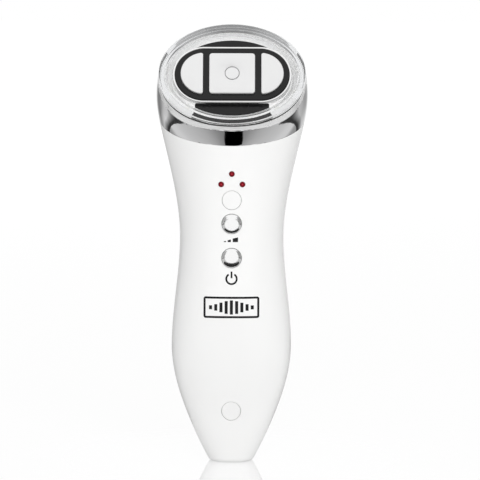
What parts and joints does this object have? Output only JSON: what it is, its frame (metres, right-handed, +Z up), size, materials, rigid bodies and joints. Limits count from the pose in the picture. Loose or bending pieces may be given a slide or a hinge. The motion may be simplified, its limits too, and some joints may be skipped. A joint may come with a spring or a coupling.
{
  "type": "facial toning device",
  "caption": "Hand-held facial toning device: waisted white grip, tilted oval head with a clear light ring and raised metal electrodes, two push buttons.",
  "frame": {"origin": "centre of the flat base that the device stands on, in the plane where its two shells meet", "axes": "+Z up along the handle, -Y the front with the buttons and electrodes, +X to the right as seen from the front"},
  "size_m": [0.0614, 0.0468, 0.1793],
  "materials": {
    "white_shell": "gloss",
    "chrome_plating": "polished",
    "clear_acrylic": "polished",
    "black_insert": "gloss",
    "bright_bezel": "polished",
    "electrode_metal": "satin",
    "piezo_ceramic": "matte",
    "light_board": "matte",
    "led_white": "gloss",
    "small_screws": "satin",
    "circuit_board": "satin",
    "black_components": "matte",
    "chrome_button": "polished",
    "switch_plunger": "matte",
    "red_lamp": "gloss",
    "white_lens": "gloss",
    "cell_sleeve": "satin",
    "plain_metal": "satin",
    "weight_metal": "matte",
    "wire_insulation": "satin"
  },
  "bodies": {
    "housing": {"front_shell": "white_shell", "rear_shell": "white_shell", "chrome_collar": "chrome_plating", "light_ring": "clear_acrylic", "face_insert": "black_insert", "electrode_bezel": "bright_bezel", "left_electrode": "electrode_metal", "centre_electrode": "electrode_metal", "right_electrode": "electrode_metal", "ultrasonic_probe": "electrode_metal", "ultrasonic_disc": "piezo_ceramic", "light_board": "light_board", "light_board_leds": "led_white", "head_screws": "small_screws", "main_board": "circuit_board", "board_components": "black_components", "board_screws": "small_screws", "level_switch": "black_components", "power_switch": "black_components", "level_lamps": "red_lamp", "mode_lens": "white_lens", "charge_lens": "white_lens", "indicator_leds": "led_white", "battery_cell": "cell_sleeve", "battery_terminals": "plain_metal", "motor_can": "plain_metal", "charging_socket": "plain_metal", "socket_tongue": "black_components", "charge_board": "circuit_board", "shell_screws": "small_screws", "electrode_leads": "wire_insulation", "battery_leads": "wire_insulation", "motor_leads": "wire_insulation", "light_leads": "wire_insulation"},
    "level_button": {"level_button": "chrome_button", "level_plunger": "switch_plunger"},
    "power_button": {"power_button": "chrome_button", "power_plunger": "switch_plunger"},
    "motor_rotor": {"motor_shaft": "plain_metal", "eccentric_weight": "weight_metal"}
  },
  "joints": [
    {"name": "level_button_press", "type": "slide", "parent": "housing", "child": "level_button", "axis": [0, 1, 0], "range_m": [0, 0.0005], "stiffness_N_per_m": 800, "springref_m": -0.0004},
    {"name": "power_button_press", "type": "slide", "parent": "housing", "child": "power_button", "axis": [0, 1, 0], "range_m": [0, 0.0005], "stiffness_N_per_m": 800, "springref_m": -0.0004},
    {"name": "motor_spin", "type": "hinge", "parent": "housing", "child": "motor_rotor", "pos_m": [0, 0.0055, 0.105], "axis": [0, 0, 1], "continuous": true}
  ]
}
